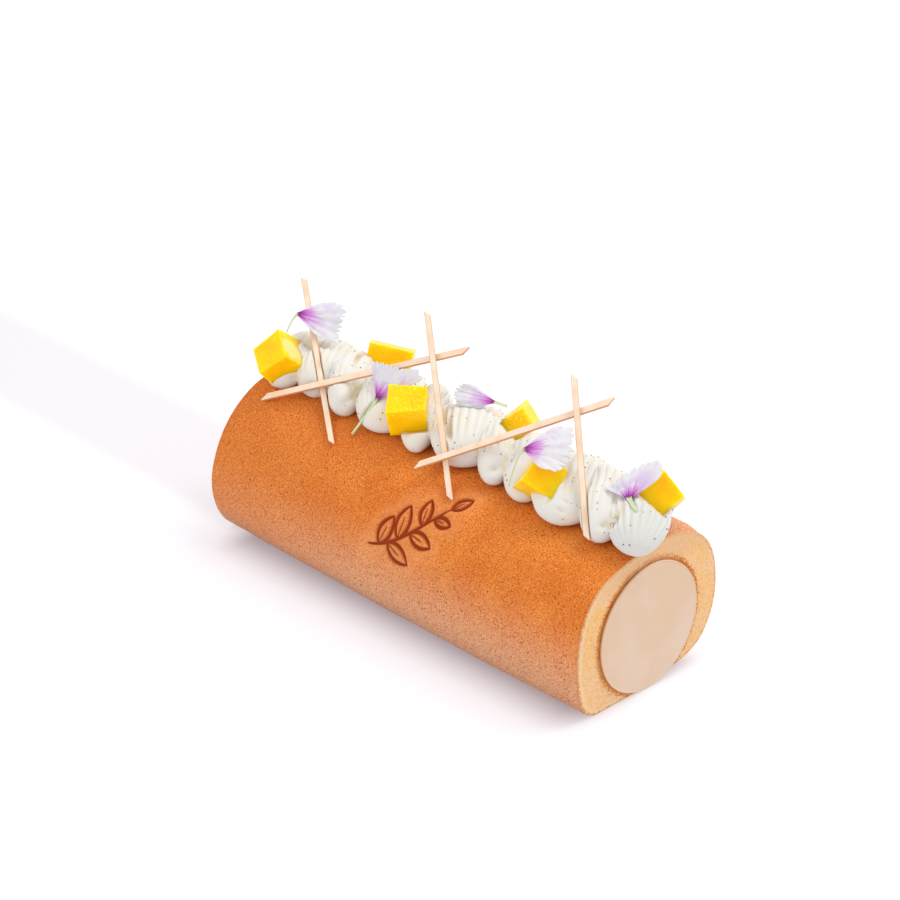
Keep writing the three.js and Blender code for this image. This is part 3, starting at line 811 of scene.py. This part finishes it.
def make_cream(material):
    points = []
    faces = []
    for number, bulb in enumerate(CREAM_BULBS):
        rings = pass_points(bulb, number)
        faces += tube_faces(*rings.shape[:2], sum(len(p) for p in points))
        points.append(rings.reshape(-1, 3))
    piece = make_piece("piped_cream", np.vstack(points), faces, [material])
    add_modifier(piece, "REMESH", mode="VOXEL", voxel_size=CREAM_VOXEL * MM, use_smooth_shade=True)
    add_modifier(piece, "SMOOTH", factor=0.5, iterations=1)
    apply_modifiers(piece)
    made = points_of(piece)
    out = normals_of(piece)
    made = made + out * waves(made, CREAM_WAVES, 10)[:, None]
    made = sink_folds(made, out)
    made = raise_curls(made, out)
    made = make_room(made)
    ends = read(piece.data.edges, "vertices", 2, np.int32)
    made = lerp(made, neighbour_mean(made, ends), 0.5)
    made[:, 2] = np.maximum(made[:, 2], top_of_roll(made) - CREAM_SINK)
    set_points(piece, made)
    # Depth of the hollows, which carries the painted shade in the creases
    even = made
    for _ in range(CAVITY_ROUNDS):
        even = neighbour_mean(even, ends)
    hollow_shade = np.einsum("ij,ij->i", even - made, normals_of(piece))
    set_attributes(piece.data, {"hollow_shade": hollow_shade})
    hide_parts("cream")
    return piece


def neighbour_mean(points, ends):
    """Mean of each point's neighbours along the edges."""
    both = np.concatenate([ends, ends[:, ::-1]])
    total = np.bincount(both[:, 0], minlength=len(points))
    sums = [np.bincount(both[:, 0], points[both[:, 1], k], len(points)) for k in range(3)]
    return np.stack(sums, 1) / np.maximum(total, 1)[:, None]


def sink_folds(points, out):
    """Draws the cream in along its folds, deepest halfway along each."""
    for line, half_wide, depth in FOLDS:
        start, through, end = (np.array(p) for p in line)
        fine = bezier(start, 2 * through - (start + end) / 2, end, 30)
        near = np.flatnonzero(np.linalg.norm(points - through, axis=1) < 22)
        away = np.linalg.norm(points[near][:, None, :] - fine[None, :, :], axis=2)
        share = away.argmin(1) / (len(fine) - 1)
        here = np.exp(-(away.min(1) / half_wide) ** 1.3) * np.sin(math.pi * lerp(0.1, 0.9, share))
        points[near] -= out[near] * (depth * here)[:, None]
    return points


def raise_curls(points, out):
    """Raises the cream into the short curls that stand up along the back of the ridge."""
    for place, radius, height in SWELLS:
        away = np.linalg.norm(points - np.array(place), axis=1)
        points = points + out * (height * np.exp(-(away / radius) ** 2))[:, None]
    return points


def clear_die(points, node, open_side):
    """Lowers the cream that stands before a die's open side."""
    corners = die_corners(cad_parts[node])
    middle = corners.mean(0)
    face = unit(open_side)
    right = unit(np.cross((0, 0, 1), face))
    seen = np.stack([right, np.cross(face, right)], 1)
    flat = (corners - middle) @ seen
    spots = (points - middle) @ seen
    outside = np.full(len(points), -FAR)
    for a, b in itertools.permutations(flat, 2):
        outward = unit((b[1] - a[1], a[0] - b[0]))
        if ((flat - a) @ outward).max() < 1e-6:
            outside = np.maximum(outside, (spots - a) @ outward)
    planes, reach = die_planes(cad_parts[node])
    chosen = planes @ face > CLEAR_SHARE
    room = (reach[chosen] - points @ planes[chosen].T) / (planes[chosen] @ face)
    drop = np.maximum(CLEAR_GAP - room.min(1), 0) * smooth(*CLEAR_FADE, outside)
    return points - face * drop[:, None]


def make_room(points):
    """Lowers the cream before the dice and under the sticks and petals that lie on it."""
    for node, open_side in CLEARED_DICE.items():
        points = clear_die(points, node, open_side)
    for node in STICKS:
        middle, spread, local = stick_frame(node)
        face = spread[2] * np.sign(spread[2] @ np.array(LEAN_NORMAL))
        half = np.abs(local).max(0)
        points = press_strip(points, middle, spread[0], face, half[0], half[1], half[2] + 0.1)
    for petal in PETALS.values():
        points = press_petal(points, *petal)
    return points


def press_petal(points, claw, throat, axis, facing, spread, reach):
    """Lowers points that stand over a petal's claw or limb to just under it."""
    start, neck = np.array(claw, float), np.array(throat, float)
    normal, axis = unit(facing), unit(axis)
    along = unit(neck - start)
    half_long = np.linalg.norm(neck - start) / 2
    points = press_strip(points, (start + neck) / 2, along, square_to(along, normal), half_long,
                         CLAW_HALF, CLAW_HALF)
    face = square_to(axis, normal)
    offset = points - (neck - axis * THROAT_RADIUS)
    ahead, across = offset @ axis, offset @ np.cross(face, axis)
    angle = np.degrees(np.arctan2(across, ahead))
    rim = np.interp(angle / spread * 2, np.linspace(-1, 1, len(reach)), reach)
    share = smooth(spread / 2 + LIMB_FADE[0], spread / 2, np.abs(angle))
    share = share * smooth(rim + LIMB_FADE[1], rim, np.hypot(ahead, across))
    drop = np.maximum(offset @ face + LIMB_ROOM, 0) * share
    return points - face * drop[:, None]


def press_strip(points, middle, along, face, half_long, half_wide, half_thick):
    """Lowers points that stand over a strip to just under it, with soft sides."""
    offset = points - middle
    ahead = np.abs(offset @ along)
    across = np.abs(offset @ np.cross(face, along))
    share = smooth(half_wide + STRIP_FADE[0], half_wide, across)
    share = share * smooth(half_long + STRIP_FADE[1], half_long, ahead)
    drop = np.maximum(offset @ face + half_thick, 0) * share
    return points - face * drop[:, None]


def top_of_roll(points):
    """Height of the crust under each point, carried on past the ends."""
    xs, rings = cad_sections()
    share = np.clip((points[:, 0] - xs[0]) / (xs[-1] - xs[0]), 0, 1)
    heights = []
    for ring in (rings[0], rings[-1]):
        high = ring[ring[:, 1] > 32]
        high = high[np.argsort(high[:, 0])]
        heights.append(np.interp(points[:, 1], high[:, 0], high[:, 1]))
    return lerp(heights[0], heights[1], share)


# Mango dice

def make_die(node, material, seed):
    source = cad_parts[node]
    faces = face_normals(source)
    points, quads = die_grid(die_corners(source))
    piece = make_piece(node + "_cut", points, quads, [material])
    add_modifier(piece, "WELD", merge_threshold=0.02 * MM)
    add_modifier(piece, "SMOOTH", factor=0.5, iterations=DIE_ROUNDS)
    apply_modifiers(piece)
    made = points_of(piece)
    out = normals_of(piece)
    set_points(piece, made + out * (waves(made, DIE_WAVES, seed) - DIE_SINK)[:, None])
    flatness = (out @ faces.T).max(1)
    worn = np.zeros(len(made))
    if node in WORN_CORNERS:
        corner, radius = WORN_CORNERS[node]
        away = np.linalg.norm(made - np.array(corner), axis=1)
        worn = smooth(radius, radius * 0.4, away + 1.6 * noise(made, 2.6, seed + 3))
    # Painted highlights gather on the top of the listed dice
    top_glint = smooth(-2, 2, made[:, 2] - made[:, 2].mean()) * (node in GLINT_DICE)
    set_attributes(piece.data, {"edge": smooth(0.99, 0.8, flatness), "worn": worn, "top_glint": top_glint})
    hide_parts(node)


def face_normals(source):
    """Directions of a die's six faces: three, and the three that lie opposite."""
    found = []
    for polygon in sorted(source.data.polygons, key=lambda p: -p.area):
        normal = np.array(polygon.normal)
        for entry in found:
            if entry[0] @ normal / np.linalg.norm(entry[0]) > 0.9:
                entry[0] += normal * polygon.area
                break
        else:
            if len(found) < 6:
                found.append([normal * polygon.area])
    normals = [unit(entry[0]) for entry in found]
    firsts, opposites = [], []
    while normals:
        first = normals.pop(0)
        firsts.append(first)
        opposites.append(normals.pop(int(np.argmin([first @ n for n in normals]))))
    return np.array(firsts + opposites)


def die_planes(source):
    """Directions of a die's faces and how far out each lies from the origin."""
    faces = face_normals(source)
    points = points_of(source)
    reach = (points @ faces.T).max(0)
    return faces, lerp(reach, faces @ points.mean(0), DIE_SHRINK)


def die_corners(source):
    """Where each three neighbouring faces of a die meet, indexed by the side of each."""
    faces, reach = die_planes(source)
    corners = []
    for sides in np.ndindex(2, 2, 2):
        rows = [axis + 3 * side for axis, side in enumerate(sides)]
        corners.append(np.linalg.solve(faces[rows], reach[rows]))
    return np.array(corners)


def die_grid(corners):
    """Fine cells over the six faces between eight corners."""
    box = corners.reshape(2, 2, 2, 3)
    points, quads = [], []
    t = np.linspace(0, 1, DIE_CELLS + 1)
    a, b = (g[..., None] for g in np.meshgrid(t, t, indexing="ij"))
    for axis in range(3):
        for side in range(2):
            face = np.take(box, side, axis)
            grid = lerp(lerp(face[0, 0], face[1, 0], a), lerp(face[0, 1], face[1, 1], a), b)
            start = sum(len(p) for p in points)
            points.append(grid.reshape(-1, 3))
            cells = grid_faces(DIE_CELLS + 1, DIE_CELLS + 1, False, start)
            outward = np.cross(grid[1, 0] - grid[0, 0], grid[0, 1] - grid[0, 0])
            quads.append(cells if outward @ (grid.mean((0, 1)) - corners.mean(0)) < 0 else cells[:, ::-1])
    return np.vstack(points), np.vstack(quads)


# Chocolate sticks

def stick_frame(node):
    """A stick's middle, its length, width and thickness directions, and its corners along them."""
    corners = np.unique(points_of(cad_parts[node]).round(3), axis=0)
    middle = corners.mean(0)
    spread = np.linalg.svd(corners - middle)[2]
    return middle, spread, (corners - middle) @ spread.T

def make_stick(node, material, seed):
    """The strip between the CAD stick's slanted ends, with softened edges and a slight wave."""
    middle, spread, local = stick_frame(node)
    half_wide, half_thick = np.abs(local[:, 1:]).max(0)
    sides = [local[local[:, 1] < 0, 0], local[local[:, 1] > 0, 0]]
    section = []
    for cx, cy, start in ((1, 1, 0), (-1, 1, 90), (-1, -1, 180), (1, -1, 270)):
        for a in np.radians(np.linspace(start, start + 90, 4)):
            section.append((cx * (half_wide - STICK_ROUND) + STICK_ROUND * math.cos(a),
                            cy * (half_thick - STICK_ROUND) + STICK_ROUND * math.sin(a)))
    section = np.array(section)
    share = (section[:, 0] / half_wide + 1) / 2
    low = lerp(sides[0].min(), sides[1].min(), share)
    high = lerp(sides[0].max(), sides[1].max(), share)
    tip = np.array([0, 0.4, 1]) * STICK_TIP
    inside = np.linspace(2 * STICK_TIP, 1 - 2 * STICK_TIP, STICK_STATIONS)
    rings = []
    for t in np.concatenate([tip, inside, 1 - tip[::-1]]):
        shrink = 1 - 0.3 * max(0, 1 - min(t, 1 - t) / STICK_TIP) ** 2
        rings.append(np.column_stack([lerp(low, high, t), section * shrink]) @ spread + middle)
    rings = np.array(rings)
    points = rings.reshape(-1, 3)
    away = points - np.repeat(rings.mean(1), len(section), axis=0)
    away /= np.maximum(np.linalg.norm(away, axis=1), 1e-9)[:, None]
    points = points + away * (0.06 * noise(points, 3, seed) - 0.03)[:, None]
    faces = tube_faces(len(rings), len(section))
    if np.dot(np.cross(spread[0], spread[1]), spread[2]) < 0:
        faces = [f[::-1] for f in faces]
    narrow = np.tile(smooth(half_wide - 0.3, half_wide - 0.05, np.abs(section[:, 0])), len(rings))
    piece = make_piece(node + "_cut", points, faces, [material], attributes={"narrow": narrow})
    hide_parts(node)


# Petals

def make_petal(node, material, seed):
    claw, throat, axis, facing, spread, reach_list = PETALS[node]
    start, neck = np.array(claw, float), np.array(throat, float)
    axis = unit(axis)
    normal = square_to(axis, unit(facing))
    side = np.cross(normal, axis)
    bend = neck - axis * np.linalg.norm(neck - start) * CLAW_BEND
    half_spread = math.radians(spread) / 2
    v = np.linspace(-1, 1, PETAL_COLUMNS)
    fringe = fringe_depth(v, seed)
    rim = np.interp(v, np.linspace(-1, 1, len(reach_list)), reach_list)
    rows = []
    stem = bezier(start, bend, neck, CLAW_ROWS + 1)
    claw_shares = np.arange(CLAW_ROWS) / CLAW_ROWS
    for i, t in enumerate(claw_shares):
        along = unit(stem[i + 1] - stem[i])
        across = square_to(along, side)
        face = np.cross(along, across)
        half = lerp(0.5, THROAT_RADIUS * math.sin(half_spread), t * t)
        rows.append(stem[i] + across * (half * v)[:, None] + face * (0.35 * (v * v) * min(1, half))[:, None])
    limb_shares = np.arange(LIMB_ROWS + 1) / LIMB_ROWS
    for t in limb_shares:
        reach = rim * (1 - fringe * smooth(0.6, 1.0, t)) - THROAT_RADIUS
        radius = THROAT_RADIUS + reach * t
        angle = half_spread * v
        wave = t * t * (0.8 * np.sin(5 * v) - 0.5) + 0.22 * t * np.sin(17 * v + seed)
        wave += 0.12 * math.sin(9 * t) * np.cos(7 * v) * t
        rows.append(neck + axis * (radius * np.cos(angle) - THROAT_RADIUS)[:, None]
                    + side * (radius * np.sin(angle))[:, None] + normal * wave[:, None])
    reach = np.repeat(np.concatenate([claw_shares - 1, limb_shares]), PETAL_COLUMNS)
    piece = make_piece(node + "_fringed", np.vstack(rows), grid_faces(len(rows), PETAL_COLUMNS, False),
                       [material], attributes={"reach": reach, "across": np.tile(v, len(rows))})
    add_modifier(piece, "SOLIDIFY", thickness=PETAL_THICKNESS * MM, offset=0)
    apply_modifiers(piece)
    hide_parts(node)


def fringe_depth(v, seed):
    """Share of the limb's length by which the rim is notched, with long and short teeth."""
    draw = np.random.default_rng(SEED + seed)
    widths = draw.uniform(0.6, 1.4, TEETH)
    borders = np.concatenate([[0], np.cumsum(widths)]) / widths.sum() * 2 - 1
    index = np.clip(np.searchsorted(borders, v, side="right") - 1, 0, TEETH - 1)
    local = np.abs(2 * (v - borders[index]) / (borders[index + 1] - borders[index]) - 1)
    notch = draw.uniform(0.5, 1.0, TEETH) * TOOTH_DEPTH
    return notch[index] * local ** 2.6 + draw.uniform(0, 0.03, TEETH)[index]


# Vanilla specks

def make_specks(cream, material):
    """Small dark grains scattered over the cream's skin."""
    draw = np.random.default_rng(SEED)
    skin = points_of(cream)
    open_skin = np.flatnonzero((normals_of(cream)[:, 2] > -0.2) & (skin[:, 2] > top_of_roll(skin) + 1.5))
    ball, ball_faces = small_ball()
    points = []
    faces = []
    for at in draw.choice(open_skin, SPECKS, replace=False):
        shape = ball * draw.uniform(*SPECK_RADIUS) * draw.uniform(*SPECK_STRETCH, 3)
        start = len(points)
        points += list(skin[at] + shape)
        faces += [[start + k for k in f] for f in ball_faces]
    piece = make_piece("vanilla_specks", np.array(points), faces, [material])


def small_ball():
    """Points and faces of a unit octahedron split once."""
    tips = ((1, 0, 0), (0, 1, 0), (-1, 0, 0), (0, -1, 0), (0, 0, 1), (0, 0, -1))
    corners = [np.array(p, float) for p in tips]
    sides = [(0, 1, 4), (1, 2, 4), (2, 3, 4), (3, 0, 4), (1, 0, 5), (2, 1, 5), (3, 2, 5), (0, 3, 5)]
    faces = []
    for a, b, c in sides:
        middles = []
        for p, q in ((a, b), (b, c), (c, a)):
            corners.append(unit(corners[p] + corners[q]))
            middles.append(len(corners) - 1)
        x, y, z = middles
        faces += [(a, x, z), (x, b, y), (z, y, c), (x, y, z)]
    return np.array(corners), faces


# Stage

def make_stage():
    signs = [(-1, -1), (1, -1), (1, 1), (-1, 1)]
    mesh = bpy.data.meshes.new("floor")
    mesh.from_pydata([(FLOOR_HALF * MM * x, FLOOR_HALF * MM * y, 0) for x, y in signs], [], [(0, 1, 2, 3)])
    mesh.materials.append(floor_material())
    floor = bpy.data.objects.new("floor", mesh)
    bpy.context.scene.collection.objects.link(floor)
    world = bpy.data.worlds.new("studio")
    world.use_nodes = True
    background = world.node_tree.nodes["Background"]
    background.inputs["Color"].default_value = (1.0, 1.0, 1.0, 1.0)
    background.inputs["Strength"].default_value = WORLD_STRENGTH
    bpy.context.scene.world = world
    for name, (place, target, size, power) in LIGHTS.items():
        lamp = bpy.data.lights.new(name, "AREA")
        lamp.shape = "DISK"
        lamp.size = size * MM
        lamp.energy = power
        aim(bpy.data.objects.new(name, lamp), place, Vector(target) - Vector(place))


def aim(thing, place, direction):
    """Puts a lamp or camera at a place in millimetres and turns it along a direction."""
    thing.location = Vector(place) * MM
    thing.rotation_mode = "QUATERNION"
    thing.rotation_quaternion = direction.to_track_quat("-Z", "Y")
    bpy.context.scene.collection.objects.link(thing)


def make_camera():
    turn, rise = math.radians(AZIMUTH), math.radians(ELEVATION)
    back = Vector((math.sin(turn) * math.cos(rise), -math.cos(turn) * math.cos(rise), math.sin(rise)))
    data = bpy.data.cameras.new("camera")
    data.sensor_width = SENSOR
    data.lens = LENS
    camera = bpy.data.objects.new("camera", data)
    aim(camera, CAMERA_PLACE, -back)
    bpy.context.scene.camera = camera
    bpy.context.scene.view_settings.view_transform = "Standard"


def main():
    make_camera()
    make_stage()
    make_sponge(crust_material(), crumb_material())
    plaque = plaque_material()
    for node in ("plaque_near", "plaque_far"):
        make_plaque(node, plaque)
    cream = make_cream(cream_material())
    make_specks(cream, speck_material())
    mango = mango_material()
    for number, node in enumerate(DICE, 1):
        make_die(node, mango, DIE_SEED + 3 * number)
    chocolate = stick_material()
    for number, node in enumerate(STICKS, 1):
        make_stick(node, chocolate, STICK_SEED + number)
    petal = petal_material()
    for number, node in enumerate(PETALS):
        make_petal(node, petal, number)


main()
